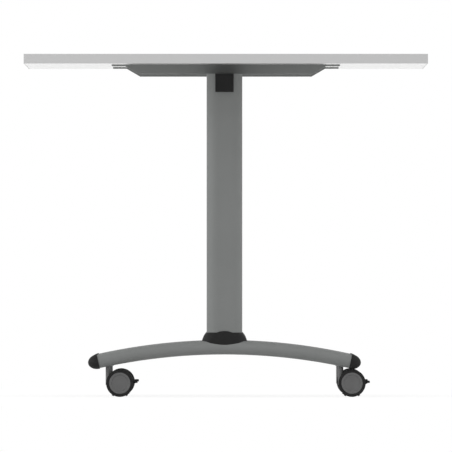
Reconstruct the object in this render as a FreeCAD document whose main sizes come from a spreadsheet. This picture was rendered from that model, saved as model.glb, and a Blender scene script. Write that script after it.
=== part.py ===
import FreeCAD
import Part
import Sketcher

import math
import os
import re

# Mobile meeting table: a tilting top on two T-legs with arched feet and braked twin-wheel castors.
# X runs across the table, Y along it, Z up from the floor under the middle of the top.
# Left is +Y, right is -Y, front is -X and rear is +X.

# Driving sizes in millimetres.
SIZES = {
    # Table top
    "top_length": 1200,
    "top_depth": 880,
    "table_height": 748,
    "core_thick": 19,
    "laminate_thick": 1,
    "edging_thick": 2,
    "edging_round": 0.8,
    # Tilt rails: pressed pans with sloped ends and a flat screw tab at each end
    "rail_top_span": 440,
    "rail_tab": 30,
    "rail_slope": 30,
    "rail_drop": 20,
    "rail_wall": 2.5,
    "rail_wide": 60,
    "screw_pitch": 36,
    "screw_dia": 4,
    "screw_head_dia": 8,
    "screw_head_high": 2,
    "screw_length": 16,
    # Columns and stretcher
    "leg_spread": 700,
    "leg_offset": 3,
    "column_wide": 78,
    "column_deep": 50,
    "column_wall": 2.5,
    "column_plate": 8,
    "stretcher_wide": 40,
    "stretcher_high": 60,
    "stretcher_wall": 2,
    "stretcher_round": 4,
    "stretcher_drop": 197,
    # Tilt pivot
    "tilt_clear": 1.5,
    "block_side": 40,
    "block_proud": 5,
    "block_inner": 2,
    "block_round": 1.2,
    "plug_thick": 10,
    "pin_dia": 12,
    "pin_sunk": 45,
    "pin_head_dia": 18,
    "pin_head_thick": 3,
    "bush_wall": 2,
    "washer_dia": 28,
    "washer_thick": 1.5,
    "hanger_thick": 8,
    "hanger_eye_dia": 32,
    "hanger_neck": 28,
    # Lock levers
    "lever_hub_dia": 24,
    "lever_hub_long": 13,
    "lever_arm_long": 72,
    "lever_arm_wide": 16,
    "lever_arm_thick": 8,
    "lever_round": 2.5,
    # Feet
    "foot_radius": 1278,
    "foot_reach": 276,
    "foot_wide": 60,
    "foot_high": 30,
    "foot_wall": 2.5,
    "bolt_pitch": 40,
    "bolt_dia": 8,
    "bolt_head_dia": 13,
    "bolt_head_high": 8,
    "access_dia": 16,
    # Boots
    "boot_toe": 13,
    "boot_belly": 9.6,
    "boot_brow": 6.1,
    "boot_lip": 0.8,
    "boot_flare": 3.6,
    "belly_rise": 3,
    "brow_rise": 11,
    "boot_rise": 18,
    "boot_bump": 3.3,
    "bump_radius": 45,
    "boot_wall": 2.5,
    # Foot caps
    "cap_high": 33,
    "cap_length": 22.7,
    "cap_clear": 0.8,
    # Castors
    "stem_inset": 22,
    "stem_dia": 10,
    "barrel_dia": 12,
    "socket_dia": 16,
    "socket_roof": 3,
    "trail": 25,
    "wheel_dia": 60,
    "hub_dia": 47,
    "hub_wide": 11,
    "hub_rim": 4.5,
    "hub_dish": 1.2,
    "hub_face": 2,
    "tyre_round": 2.5,
    "web_thick": 13,
    "web_inset": 0.5,
    "wheel_gap": 1,
    "tip_proud": 1.7,
    "tip_long": 15,
    "tip_wide": 5,
    "tip_spread": 30,
    "arm_high": 8,
    "arm_thick": 8,
    "boss_dia": 16,
    "axle_dia": 8,
    # Brake pedals
    "pedal_lift": 3,
    "pedal_pivot": 21,
    "pedal_heel": 4,
    "pedal_thick": 5,
    "pedal_round": 1.2,
    "pedal_reach": 39,
    "paddle_long": 7,
    "paddle_wide": 26,
    "tongue_wide": 6,
    "gusset_high": 3,
    "gusset_lead": 2,
    "trunnion_dia": 4,
    # Clearances
    "run_clear": 0.05,
    "pivot_clear": 0.08,
    "press_clear": 0.02,
    "seat_clear": 0.15,
    "slide_clear": 0.2,
    "swing_clear": 0.4,
}

# Sizes and places that follow from the driving ones.
DERIVED = {
    # Cutting tools run this far past the faces that they open.
    "cut_over": "1",
    "board_thick": "core_thick + 2*laminate_thick",
    "underside": "table_height - board_thick",
    "column_top": "underside - rail_drop",
    "rail_tab_span": "rail_top_span + 2*rail_tab",
    "rail_floor_span": "rail_top_span - 2*rail_slope",
    "leg_x": "-leg_offset",
    "leg_y": "leg_spread/2",
    # The underside of the turning top just clears the corners of the column's head.
    "pivot_drop": "((column_wide/2 + tilt_clear)^2 - rail_drop^2)/(2*rail_drop)",
    "pivot_z": "column_top - pivot_drop",
    # Places along the pivot pin, measured inboard from the column's centre
    "housing_outer": "-column_deep/2 - block_proud",
    "housing_inner": "column_deep/2 + block_inner",
    "hanger_outer": "housing_inner + washer_thick + slide_clear",
    "hanger_inner": "hanger_outer + hanger_thick",
    "lever_outer": "hanger_inner + washer_thick + 2*slide_clear",
    "lever_inner": "lever_outer + lever_hub_long",
    "head_outer": "lever_inner + slide_clear",
    "pin_tail": "housing_inner - pin_sunk",
    "rail_middle": "hanger_outer + rail_wide/2",
    "bush_dia": "pin_dia + 2*run_clear + 2*bush_wall",
    # The arch of a foot, from the height that keeps its caps clear of the wheels
    "foot_slope": "asin(foot_reach/foot_radius)",
    "cap_sink": "sqrt((cap_length*sin(foot_slope))^2 + (cap_high/2*cos(foot_slope))^2)",
    "foot_end_z": "wheel_dia + cap_clear + cap_sink",
    "foot_centre_z": "foot_end_z - foot_radius*cos(foot_slope)",
    "foot_mid_z": "foot_centre_z + foot_radius",
    "crown_z": "foot_mid_z + foot_high/2",
    "stem_reach": "foot_reach - stem_inset",
    "socket_far": "stem_reach + socket_dia/2",
    "socket_low": "foot_centre_z + sqrt((foot_radius - foot_high/2)^2 - socket_far^2)",
    "roof_radius": "foot_radius + foot_high/2 - foot_wall",
    "socket_top": "foot_centre_z + sqrt(roof_radius^2 - socket_far^2) - seat_clear",
    "bolt_far": "bolt_pitch/2 + bolt_head_dia/2",
    "bolt_seat": "foot_centre_z + sqrt(roof_radius^2 - bolt_far^2) - press_clear",
    "bore_top": "socket_top - socket_roof",
    # Castor heights and radii
    "axle_z": "wheel_dia/2",
    "barrel_low": "axle_z - arm_high/2",
    "barrel_top": "socket_low - slide_clear",
    "stem_top": "bore_top - slide_clear",
    "web_dia": "wheel_dia - 2*web_inset",
    "hub_inner": "web_thick/2 + wheel_gap",
    "hub_outer": "hub_inner + hub_wide",
    "axle_half": "hub_outer - hub_dish - hub_face - slide_clear",
    "pedal_z": "axle_z + pedal_lift",
    "pedal_x": "trail + pedal_pivot",
}

SIDES = {"left": 1, "right": -1}
ENDS = {"front": -1, "rear": 1}

# Turns in radians, and the slack within which two lengths are the same.
QUARTER = math.pi / 2
HALF = math.pi
FULL = 2 * math.pi
SAME = 0.001

doc = FreeCAD.newDocument("MobileMeetingTable")
sheet = doc.addObject("Spreadsheet::Sheet", "Sizes")
for row, (size_name, size) in enumerate(SIZES.items(), start=1):
    sheet.set(f"A{row}", size_name)
    sheet.set(f"B{row}", str(size))
    sheet.setAlias(f"B{row}", size_name)
doc.recompute()

finished = []


# Formulas

def formula(text):
    """Expression text in which derived names are spelled out and sizes point at their cells."""
    def spell(match):
        word = match[0]
        if word in DERIVED:
            return f"({formula(DERIVED[word])})"
        return f"Sizes.{word}" if word in SIZES else word
    return re.sub(r"[a-z_]+", spell, str(text))


def value(text):
    """Number that a formula gives."""
    result = sheet.evalExpression(formula(text))
    return float(getattr(result, "Value", result))


def bind(thing, **sizes):
    """Tie properties to formulas."""
    for name, text in sizes.items():
        thing.setExpression(name, formula(text))


def place(thing, x="0", y="0", z="0", axis=None, turn=None):
    """Put an object's own origin at a point, turned about an axis first."""
    if axis:
        thing.Placement = FreeCAD.Placement(FreeCAD.Vector(), FreeCAD.Rotation(FreeCAD.Vector(*axis), turn))
    for letter, text in zip("xyz", (x, y, z)):
        thing.setExpression(f"Placement.Base.{letter}", formula(text))
    return thing


def finish(thing, label):
    """Name a finished sub-part."""
    thing.Label = label
    finished.append(thing)
    return thing


# Primitives and booleans

def box(x, y, z, along_x, along_y, along_z):
    """Block from its lowest corner."""
    block = doc.addObject("Part::Box", "Block")
    bind(block, Length=along_x, Width=along_y, Height=along_z)
    return place(block, x, y, z)


def upright(x, y, low, high, dia):
    """Round bar standing along Z."""
    bar = doc.addObject("Part::Cylinder", "Upright")
    bind(bar, Radius=f"({dia})/2", Height=f"({high}) - ({low})")
    return place(bar, x, y, low)


def crossbar(x, z, low, high, dia):
    """Round bar lying along Y."""
    bar = doc.addObject("Part::Cylinder", "Crossbar")
    bind(bar, Radius=f"({dia})/2", Height=f"({high}) - ({low})")
    return place(bar, x, low, z, axis=(1, 0, 0), turn=-90)


def fuse(*shapes):
    """One solid from several that meet."""
    joined = doc.addObject("Part::MultiFuse", "Joined")
    joined.Shapes = list(shapes)
    return joined


def group(*shapes):
    """Separate solids that share one node."""
    together = doc.addObject("Part::Compound", "Together")
    together.Links = list(shapes)
    return together


def cut(base, *tools):
    """A solid less one or more others."""
    result = doc.addObject("Part::Cut", "Cut")
    result.Base = base
    result.Tool = tools[0] if len(tools) == 1 else group(*tools)
    return result


# Sketched bodies

def new_body(name):
    """Empty body."""
    return doc.addObject("PartDesign::Body", name)


def sketch_on(body, plane, lift="0"):
    """Sketch on one of a body's own origin planes, raised along the plane's normal."""
    sketch = body.newObject("Sketcher::SketchObject", "Sketch")
    support = [item for item in body.Origin.OriginFeatures if item.Role == plane][0]
    sketch.AttachmentSupport = [(support, "")]
    sketch.MapMode = "FlatFace"
    sketch.setExpression("AttachmentOffset.Base.z", formula(lift))
    return sketch


def dimension(sketch, kind, *where, text):
    """Dimension tied to a formula."""
    index = sketch.addConstraint(Sketcher.Constraint(kind, *where, value(text)))
    sketch.setExpression(f"Constraints[{index}]", formula(text))


def outline(sketch, *corners):
    """Closed outline of straight edges, each corner a pair of formulas."""
    points = [FreeCAD.Vector(value(u), value(w), 0) for u, w in corners]
    first = sketch.GeometryCount
    count = len(points)
    for index in range(count):
        sketch.addGeometry(Part.LineSegment(points[index], points[(index + 1) % count]))
    for index, (u, w) in enumerate(corners):
        follower = first + (index + 1) % count
        sketch.addConstraint(Sketcher.Constraint("Coincident", first + index, 2, follower, 1))
        dimension(sketch, "DistanceX", -1, 1, first + index, 1, text=u)
        dimension(sketch, "DistanceY", -1, 1, first + index, 1, text=w)
    return sketch


def rectangle(sketch, left, right, low, high):
    """Closed rectangle between two pairs of formulas."""
    return outline(sketch, (left, low), (right, low), (right, high), (left, high))


def disc(sketch, u, w, dia):
    """Circle about a point."""
    middle = FreeCAD.Vector(value(u), value(w), 0)
    circle = sketch.addGeometry(Part.Circle(middle, FreeCAD.Vector(0, 0, 1), value(dia) / 2))
    dimension(sketch, "DistanceX", -1, 1, circle, 3, text=u)
    dimension(sketch, "DistanceY", -1, 1, circle, 3, text=w)
    dimension(sketch, "Diameter", circle, text=dia)
    return sketch


def oval(sketch, long, short):
    """Flat oval about the sketch's origin: two straight sides along the first axis, two round ends."""
    radius = value(short) / 2
    half = FreeCAD.Vector(value(long) / 2 - radius, 0, 0)
    rise = FreeCAD.Vector(0, radius, 0)
    normal = FreeCAD.Vector(0, 0, 1)
    top = sketch.addGeometry(Part.LineSegment(half + rise, rise - half))
    left_round = Part.Circle(-half, normal, radius)
    left = sketch.addGeometry(Part.ArcOfCircle(left_round, QUARTER, 3 * QUARTER))
    low = sketch.addGeometry(Part.LineSegment(-half - rise, half - rise))
    right_round = Part.Circle(half, normal, radius)
    right = sketch.addGeometry(Part.ArcOfCircle(right_round, -QUARTER, QUARTER))
    for edge, follower in ((top, left), (left, low), (low, right), (right, top)):
        sketch.addConstraint(Sketcher.Constraint("Tangent", edge, 2, follower, 1))
    sketch.addConstraint(Sketcher.Constraint("PointOnObject", left, 3, -1))
    sketch.addConstraint(Sketcher.Constraint("Symmetric", left, 3, right, 3, -1, 1))
    sketch.addConstraint(Sketcher.Constraint("Equal", left, right))
    dimension(sketch, "DistanceX", left, 3, right, 3, text=f"({long}) - ({short})")
    dimension(sketch, "Radius", left, text=f"({short})/2")
    return sketch


def crowned_oval(sketch, long, short, nose):
    """Oval about the sketch's origin: two broad arcs along the first axis that run into two round ends."""
    flank = f"((({long})/2 - ({nose}))^2 + ({short})^2/4 - ({nose})^2)/(({short}) - 2*({nose}))"
    reach = value(f"({long})/2 - ({nose})")
    drop = value(f"{flank} - ({short})/2")
    lean = math.atan2(drop, reach)
    spans = ((reach, 0, nose, -lean, lean), (0, -drop, flank, lean, HALF - lean),
             (-reach, 0, nose, HALF - lean, HALF + lean), (0, drop, flank, HALF + lean, FULL - lean))
    arcs = []
    for u, w, radius, start, end in spans:
        circle = Part.Circle(FreeCAD.Vector(u, w, 0), FreeCAD.Vector(0, 0, 1), value(radius))
        arcs.append(sketch.addGeometry(Part.ArcOfCircle(circle, start, end)))
    for arc, follower in zip(arcs, arcs[1:] + arcs[:1]):
        sketch.addConstraint(Sketcher.Constraint("Tangent", arc, 2, follower, 1))
    right, top, left, low = arcs
    sketch.addConstraint(Sketcher.Constraint("PointOnObject", left, 3, -1))
    sketch.addConstraint(Sketcher.Constraint("Symmetric", left, 3, right, 3, -1, 1))
    sketch.addConstraint(Sketcher.Constraint("Equal", left, right))
    sketch.addConstraint(Sketcher.Constraint("Equal", top, low))
    dimension(sketch, "DistanceX", left, 3, right, 3, text=f"({long}) - 2*({nose})")
    dimension(sketch, "Radius", left, text=nose)
    dimension(sketch, "Radius", top, text=flank)
    return sketch


def pad(body, sketch, length, both_ways=False):
    """Raise a sketch into a solid."""
    feature = body.newObject("PartDesign::Pad", "Pad")
    feature.Profile = sketch
    feature.Midplane = both_ways
    bind(feature, Length=length)
    return feature


def pocket(body, sketch, length, both_ways=False):
    """Sink a sketch into the solid below it."""
    feature = body.newObject("PartDesign::Pocket", "Pocket")
    feature.Profile = sketch
    feature.Midplane = both_ways
    bind(feature, Length=length)
    return feature


def turned(body, sketch, axis):
    """Full turn of a sketch."""
    feature = body.newObject("PartDesign::Revolution", "Turned")
    feature.Profile = sketch
    feature.ReferenceAxis = (sketch, [axis])
    feature.Angle = 360
    return feature


def loft(body, kind, sketches):
    """Blend through sketches, from the first to the last."""
    feature = body.newObject(f"PartDesign::{kind}", "Loft")
    feature.Profile = sketches[0]
    feature.Sections = sketches[1:]
    return feature


def round_edges(body, feature, radius, wanted):
    """Round the edges of a feature whose bounding boxes pass a test."""
    doc.recompute()
    names = []
    for index, edge in enumerate(feature.Shape.Edges, start=1):
        if wanted(edge.BoundBox):
            names.append(f"Edge{index}")
    if not names:
        raise RuntimeError(f"no edge to round on {body.Name}")
    fillet = body.newObject("PartDesign::Fillet", "Rounded")
    fillet.Base = (feature, names)
    bind(fillet, Radius=radius)
    return fillet


def near(a, b):
    """True where two lengths agree."""
    return abs(a - b) < SAME


def oval_bar(name, long, short, length):
    """Solid bar of flat-oval section standing along Z, its long axis along X."""
    body = new_body(name)
    pad(body, oval(sketch_on(body, "XY_Plane"), long, short), length)
    return body


def span(side, near_column, far_column):
    """Y of both ends, lowest first, of a stretch measured inboard from a column's centre."""
    if side == "left":
        return f"leg_y - ({far_column})", f"leg_y - ({near_column})"
    return f"-leg_y + ({near_column})", f"-leg_y + ({far_column})"


def pivot_bar(side, near_column, far_column, dia):
    """Round bar on the tilt axis."""
    low, high = span(side, near_column, far_column)
    return crossbar("leg_x", "pivot_z", low, high, dia)


# Table top

def screw_spots():
    """Centre of every rail screw."""
    spots = []
    for side_sign in SIDES.values():
        for end_sign in ENDS.values():
            for pitch_sign in (-1, 1):
                x = f"{end_sign}*(rail_tab_span + rail_top_span)/4"
                y = f"{side_sign}*(leg_y - rail_middle) + {pitch_sign}*screw_pitch/2"
                spots.append((x, y))
    return spots


def sheet_board(low, thick):
    """One layer of the board, inside the edging."""
    wide = "top_depth - 2*edging_thick"
    long = "top_length - 2*edging_thick"
    return box(f"-({wide})/2", f"-({long})/2", low, wide, long, thick)


def screw_holes(low, high):
    """Pilot holes of the rail screws between two heights."""
    dia = "screw_dia + 2*run_clear"
    return [upright(x, y, low, high, dia) for x, y in screw_spots()]


def edging_strip(length, x, y, turn):
    """Plastic edging with eased arrises; its outer face looks along +Y before it is turned."""
    body = new_body("Edging")
    face = rectangle(sketch_on(body, "XY_Plane"), f"-({length})/2", f"({length})/2", "-edging_thick", "0")
    strip = pad(body, face, "board_thick")
    round_edges(body, strip, "edging_round", lambda b: near(b.YMin, 0) and not near(b.XLength, 0))
    return place(body, x, y, "underside", axis=(0, 0, 1), turn=turn)


def table_top():
    """Board in three layers, its edging and the screws that hold the rails."""
    backing_top = "underside + laminate_thick"
    core_top = "table_height - laminate_thick"
    screw_foot = "underside - rail_wall"
    screw_top = f"{screw_foot} + screw_length"
    core = sheet_board(backing_top, "core_thick")
    finish(cut(core, *screw_holes(backing_top, screw_top)), "tabletop_core")
    finish(sheet_board(core_top, "laminate_thick"), "top_laminate")
    backing = sheet_board("underside", "laminate_thick")
    finish(cut(backing, *screw_holes("underside", backing_top)), "backing_laminate")
    finish(group(edging_strip("top_depth", "0", "top_length/2", 0),
                 edging_strip("top_depth", "0", "-top_length/2", 180)), "end_edging")
    between = "top_length - 2*edging_thick"
    finish(group(edging_strip(between, "top_depth/2", "0", -90),
                 edging_strip(between, "-top_depth/2", "0", 90)), "side_edging")
    screws = []
    for x, y in screw_spots():
        head = doc.addObject("Part::Cone", "Head")
        bind(head, Radius1="screw_head_dia/2", Radius2="screw_dia/2", Height="screw_head_high")
        place(head, x, y, screw_foot)
        shank = upright(x, y, f"{screw_foot} + screw_head_high", f"{screw_top} - slide_clear", "screw_dia")
        screws.append(fuse(head, shank))
    finish(group(*screws), "rail_screws")


def tilt_rail(side):
    """Pressed pan under the top with the welded plate that hangs on the pivot pin."""
    sign = SIDES[side]
    body = new_body("Rail")
    tab, top, floor = "rail_tab_span/2", "rail_top_span/2", "rail_floor_span/2"
    profile = outline(sketch_on(body, "XZ_Plane"),
                      (f"-{tab}", "0"), (f"-{tab}", "-rail_wall"), (f"-{top}", "-rail_wall"),
                      (f"-{floor}", "-rail_drop"), (floor, "-rail_drop"), (top, "-rail_wall"),
                      (tab, "-rail_wall"), (tab, "0"))
    pad(body, profile, "rail_wide", both_ways=True)
    mouth = f"{top} - 2*rail_wall"
    hollow = outline(sketch_on(body, "XZ_Plane"),
                     (f"-({mouth})", "0"), (f"-{floor}", "rail_wall - rail_drop"),
                     (floor, "rail_wall - rail_drop"), (mouth, "0"))
    pocket(body, hollow, "rail_wide - 2*rail_wall", both_ways=True)
    place(body, "0", f"{sign}*(leg_y - rail_middle)", "underside")
    low, high = span(side, "hanger_outer", "hanger_inner")
    neck = box("leg_x - hanger_neck/2", low, "pivot_z", "hanger_neck", "hanger_thick", "pivot_drop")
    eye = pivot_bar(side, "hanger_outer", "hanger_inner", "hanger_eye_dia")
    bore = pivot_bar(side, "hanger_outer - cut_over", "hanger_inner + cut_over", "bush_dia + 2*press_clear")
    holes = []
    for x, y in screw_spots():
        sink = doc.addObject("Part::Cone", "Countersink")
        bind(sink, Radius1="screw_head_dia/2 + seat_clear", Radius2="screw_dia/2 + seat_clear",
             Height="screw_head_high")
        holes.append(place(sink, x, y, "underside - rail_wall"))
        holes.append(upright(x, y, "underside - rail_wall", "underside", "screw_dia + 2*seat_clear"))
    finish(cut(fuse(body, neck, eye), bore, *holes), f"tilt_rail_{side}")


# Tilt pivot

def pivot_housing(side):
    """Moulded block through the column's head, with the plug that closes the tube."""
    sign = SIDES[side]
    body = new_body("Block")
    long = "housing_inner - housing_outer"
    face = rectangle(sketch_on(body, "XZ_Plane"), "-block_side/2", "block_side/2", "-block_side", "0")
    block = pad(body, face, long)
    deep = value(long)
    round_edges(body, block, "block_round", lambda b: near(b.YMin, -deep) and near(b.YMax, -deep))
    place(body, "leg_x", f"{sign}*(leg_y - (housing_inner))", "column_top", axis=(0, 0, 1),
          turn=180 if side == "left" else 0)
    slack = "2*(column_wall + seat_clear)"
    plug = oval_bar("Plug", f"column_wide - {slack}", f"column_deep - {slack}", "plug_thick")
    place(plug, "leg_x", f"{sign}*leg_y", "column_top - plug_thick")
    bore = pivot_bar(side, "pin_tail - press_clear", "housing_inner + cut_over", "pin_dia + 2*press_clear")
    finish(cut(fuse(body, plug), bore), f"pivot_housing_{side}")


def pivot_hardware():
    """Pins, bushes and washers of both pivots."""
    pins = []
    bushes = []
    washers = []
    for side in SIDES:
        pin = pivot_bar(side, "pin_tail", "head_outer + pin_head_thick", "pin_dia")
        head = pivot_bar(side, "head_outer", "head_outer + pin_head_thick", "pin_head_dia")
        pins.append(fuse(pin, head))
        bore_dia = "pin_dia + 2*run_clear"
        sleeve = pivot_bar(side, "hanger_outer", "hanger_inner", "bush_dia")
        bore = pivot_bar(side, "hanger_outer - cut_over", "hanger_inner + cut_over", bore_dia)
        bushes.append(cut(sleeve, bore))
        for near_column in ("housing_inner", "hanger_inner + slide_clear"):
            far_column = f"{near_column} + washer_thick"
            plate = pivot_bar(side, near_column, far_column, "washer_dia")
            hole = pivot_bar(side, f"{near_column} - cut_over", f"{far_column} + cut_over", bore_dia)
            washers.append(cut(plate, hole))
    finish(group(*pins), "pivot_pins")
    finish(group(*bushes), "pivot_bushes")
    finish(group(*washers), "thrust_washers")


def lock_lever(side):
    """Hand lever on the inboard end of the pivot pin, hanging straight down."""
    body = new_body("Lever")
    face = oval(sketch_on(body, "XZ_Plane"), "lever_arm_long + lever_arm_wide", "lever_arm_wide")
    arm = pad(body, face, "lever_arm_thick", both_ways=True)
    round_edges(body, arm, "lever_round", lambda b: near(b.YLength, 0))
    pivot = "-lever_arm_long/2"
    hub = disc(sketch_on(body, "XZ_Plane"), pivot, "0", "lever_hub_dia")
    pad(body, hub, "lever_hub_long", both_ways=True)
    bore = disc(sketch_on(body, "XZ_Plane"), pivot, "0", "pin_dia + 2*run_clear")
    pocket(body, bore, "2*lever_hub_long", both_ways=True)
    middle = f"{SIDES[side]}*(leg_y - (lever_outer + lever_inner)/2)"
    place(body, "leg_x", middle, f"pivot_z + {pivot}", axis=(0, 1, 0), turn=90)
    finish(body, f"lock_lever_{side}")


# Legs

def arch(name, grow, hollow=False):
    """Flat-oval tube bent to the arc of a foot, or the solid that it would fill."""
    body = new_body(name)
    section = sketch_on(body, "YZ_Plane")
    oval(section, f"foot_wide + 2*{grow}", f"foot_high + 2*{grow}")
    if hollow:
        oval(section, "foot_wide - 2*foot_wall", "foot_high - 2*foot_wall")
    ends = [FreeCAD.Vector(sign * value("foot_wide"), -value("foot_radius"), 0) for sign in (-1, 1)]
    axis = section.addGeometry(Part.LineSegment(*ends), True)
    for point, sign in ((1, -1), (2, 1)):
        dimension(section, "DistanceX", -1, 1, axis, point, text=f"{sign}*foot_wide")
        dimension(section, "DistanceY", -1, 1, axis, point, text="-foot_radius")
    bend = body.newObject("PartDesign::Revolution", "Bend")
    bend.Profile = section
    bend.ReferenceAxis = (section, ["Axis0"])
    bend.Midplane = True
    bind(bend, Angle="2*foot_slope")
    return body


def foot_space(side, grow):
    """Space that a foot fills, for coping what stands on it."""
    return place(arch("FootSpace", grow), "leg_x", f"{SIDES[side]}*leg_y", "foot_mid_z")


def column_space(side, low, grow):
    """Space that a column fills from a height up to its head."""
    tall = f"column_top - ({low})"
    bar = oval_bar("ColumnSpace", f"column_wide + 2*{grow}", f"column_deep + 2*{grow}", tall)
    return place(bar, "leg_x", f"{SIDES[side]}*leg_y", low)


def bolt_spots(side):
    """Centres of the two bolts that hold a column on its foot."""
    return [(f"leg_x + {sign}*bolt_pitch/2", f"{SIDES[side]}*leg_y") for sign in (-1, 1)]


def column(side):
    """Flat-oval tube, closed by a plate at its foot and notched at its head for the pivot housing."""
    body = new_body("Column")
    tall = "column_top - foot_mid_z"
    pad(body, oval(sketch_on(body, "XY_Plane"), "column_wide", "column_deep"), tall)
    walls = "2*column_wall"
    bore = oval(sketch_on(body, "XY_Plane", tall), f"column_wide - {walls}", f"column_deep - {walls}")
    pocket(body, bore, "column_top - crown_z - column_plate")
    half = "block_side/2 + seat_clear"
    notch = rectangle(sketch_on(body, "XZ_Plane"), f"-({half})", half, f"{tall} - block_side", tall)
    pocket(body, notch, "2*column_deep", both_ways=True)
    place(body, "leg_x", f"{SIDES[side]}*leg_y", "foot_mid_z")
    threads = []
    for x, y in bolt_spots(side):
        threads.append(upright(x, y, "foot_mid_z", "crown_z + column_plate", "bolt_dia + 2*press_clear"))
    finish(cut(body, foot_space(side, "press_clear"), *threads), f"column_{side}")


def stretcher():
    """Rectangular tube between the columns, coped to their round faces."""
    wide, high = "stretcher_wide/2", "stretcher_high/2"
    body = new_body("Stretcher")
    section = rectangle(sketch_on(body, "XZ_Plane"), f"-{wide}", wide, f"-{high}", high)
    bar = pad(body, section, "leg_spread", both_ways=True)
    round_edges(body, bar, "stretcher_round", lambda b: not near(b.YLength, 0))
    bore_wide, bore_high = f"({wide} - stretcher_wall)", f"({high} - stretcher_wall)"
    bore = rectangle(sketch_on(body, "XZ_Plane"), f"-{bore_wide}", bore_wide, f"-{bore_high}", bore_high)
    pocket(body, bore, "leg_spread", both_ways=True)
    place(body, "leg_x", "0", "column_top - stretcher_drop")
    spaces = [column_space(side, "crown_z", "press_clear") for side in SIDES]
    finish(cut(body, *spaces), "stretcher")


def foot(side):
    """Arched tube with holes for the castor sockets, the column's bolts and the key that turns them."""
    y = f"{SIDES[side]}*leg_y"
    body = place(arch("Foot", "0", hollow=True), "leg_x", y, "foot_mid_z")
    holes = []
    for sign in ENDS.values():
        x = f"leg_x + {sign}*stem_reach"
        holes.append(upright(x, y, "wheel_dia", "bore_top", "socket_dia + 2*press_clear"))
    for x, bolt_y in bolt_spots(side):
        holes.append(upright(x, bolt_y, "foot_mid_z", "crown_z + cut_over", "bolt_dia + 2*seat_clear"))
        holes.append(upright(x, bolt_y, "foot_mid_z - foot_high", "foot_mid_z", "access_dia"))
    finish(cut(body, *holes), f"foot_{side}")


def foot_hardware():
    """Castor sockets welded into the feet and the bolts under the columns."""
    sockets = []
    bolts = []
    for side, sign in SIDES.items():
        for end_sign in ENDS.values():
            x = f"leg_x + {end_sign}*stem_reach"
            y = f"{sign}*leg_y"
            sleeve = upright(x, y, "socket_low", "socket_top", "socket_dia")
            bore = upright(x, y, "socket_low - cut_over", "bore_top", "stem_dia + 2*run_clear")
            sockets.append(cut(sleeve, bore))
        for x, y in bolt_spots(side):
            shank = upright(x, y, "bolt_seat", "crown_z + column_plate", "bolt_dia")
            head = upright(x, y, "bolt_seat - bolt_head_high", "bolt_seat", "bolt_head_dia")
            bolts.append(fuse(head, shank))
    finish(group(*sockets), "castor_sockets")
    finish(group(*bolts), "foot_bolts")


def boot_ring(body, height, grow, flare, nose):
    """Outline of a boot at a height over the foot's middle, grown out from the column's section."""
    ring = sketch_on(body, "XY_Plane", height)
    long = f"column_wide + 2*{grow}"
    short = f"column_deep + 2*{flare}"
    return crowned_oval(ring, long, short, f"column_deep/2 + {nose}")


def boot(side):
    """Moulded cover over the joint of column and foot, domed at both ends, an arched tongue on each face."""
    body = new_body("Boot")
    rise = "foot_high/2 + boot_rise"
    lip = (rise, "boot_lip", "boot_wall", "boot_lip")
    rings = [boot_ring(body, "0", "boot_toe", "boot_flare", "boot_wall"),
             boot_ring(body, "foot_high/2 + belly_rise", "boot_belly", "boot_flare", "boot_wall"),
             boot_ring(body, "foot_high/2 + brow_rise", "boot_brow", "boot_brow/2", "boot_wall"),
             boot_ring(body, *lip)]
    loft(body, "AdditiveLoft", rings)
    pad(body, boot_ring(body, *lip), "boot_bump")
    hollow = [oval(sketch_on(body, "XY_Plane"), "column_wide + 2*boot_toe - 2*boot_wall", "column_deep"),
              oval(sketch_on(body, "XY_Plane", f"{rise} - boot_wall"), "column_wide", "column_deep")]
    loft(body, "SubtractiveLoft", hollow)
    y = f"{SIDES[side]}*leg_y"
    place(body, "leg_x", y, "foot_mid_z")
    top = f"foot_mid_z + {rise}"
    above = box("leg_x - column_wide", f"{y} - foot_wide", top,
                "2*column_wide", "2*foot_wide", "boot_bump + cut_over")
    tongue = crossbar("leg_x", f"{top} + boot_bump - bump_radius",
                      f"{y} - foot_wide - cut_over", f"{y} + foot_wide + cut_over", "2*bump_radius")
    spaces = (foot_space(side, "seat_clear"), column_space(side, "foot_mid_z", "seat_clear"))
    finish(cut(body, *spaces, cut(above, tongue)), f"boot_{side}")


def foot_cap(side, end):
    """Bullet-shaped plug in a foot's end: a half capsule drawn out along the tube, and its insert."""
    radius = value("cap_high") / 2
    flat = value("foot_wide - foot_high")
    stretch = value("cap_length") / radius
    origin = FreeCAD.Vector()
    across = FreeCAD.Vector(0, 1, 0)
    outward = FreeCAD.Vector(0, 0, 1)
    capsule = Part.makeCylinder(radius, flat, -across * (flat / 2), across)
    for sign in (-1, 1):
        capsule = capsule.fuse(Part.makeSphere(radius, across * (sign * flat / 2)))
    room = 2 * (flat + radius)
    nose = capsule.common(Part.makeBox(room, room, room, FreeCAD.Vector(-room / 2, -room / 2, 0)))
    scale = FreeCAD.Matrix()
    scale.scale(FreeCAD.Vector(1, 1, stretch))
    nose = nose.transformGeometry(scale)
    insert_radius = value("foot_high/2 - foot_wall - seat_clear")
    insert_long = value("(stem_inset - socket_dia/2)/2")
    insert = Part.makeBox(2 * insert_radius, flat, insert_long,
                          FreeCAD.Vector(-insert_radius, -flat / 2, -insert_long))
    for sign in (-1, 1):
        middle = across * (sign * flat / 2) - outward * insert_long
        insert = insert.fuse(Part.makeCylinder(insert_radius, insert_long, middle, outward))
    cap = doc.addObject("Part::Feature", "Cap")
    cap.Shape = nose.fuse(insert).removeSplitter()
    end_sign = ENDS[end]
    lean = end_sign * (90 + value("foot_slope"))
    spot = FreeCAD.Vector(value("leg_x") + end_sign * value("foot_reach"), SIDES[side] * value("leg_y"),
                          value("foot_end_z"))
    cap.Placement = FreeCAD.Placement(spot, FreeCAD.Rotation(across, lean), origin)
    return cap


# Castors

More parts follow.
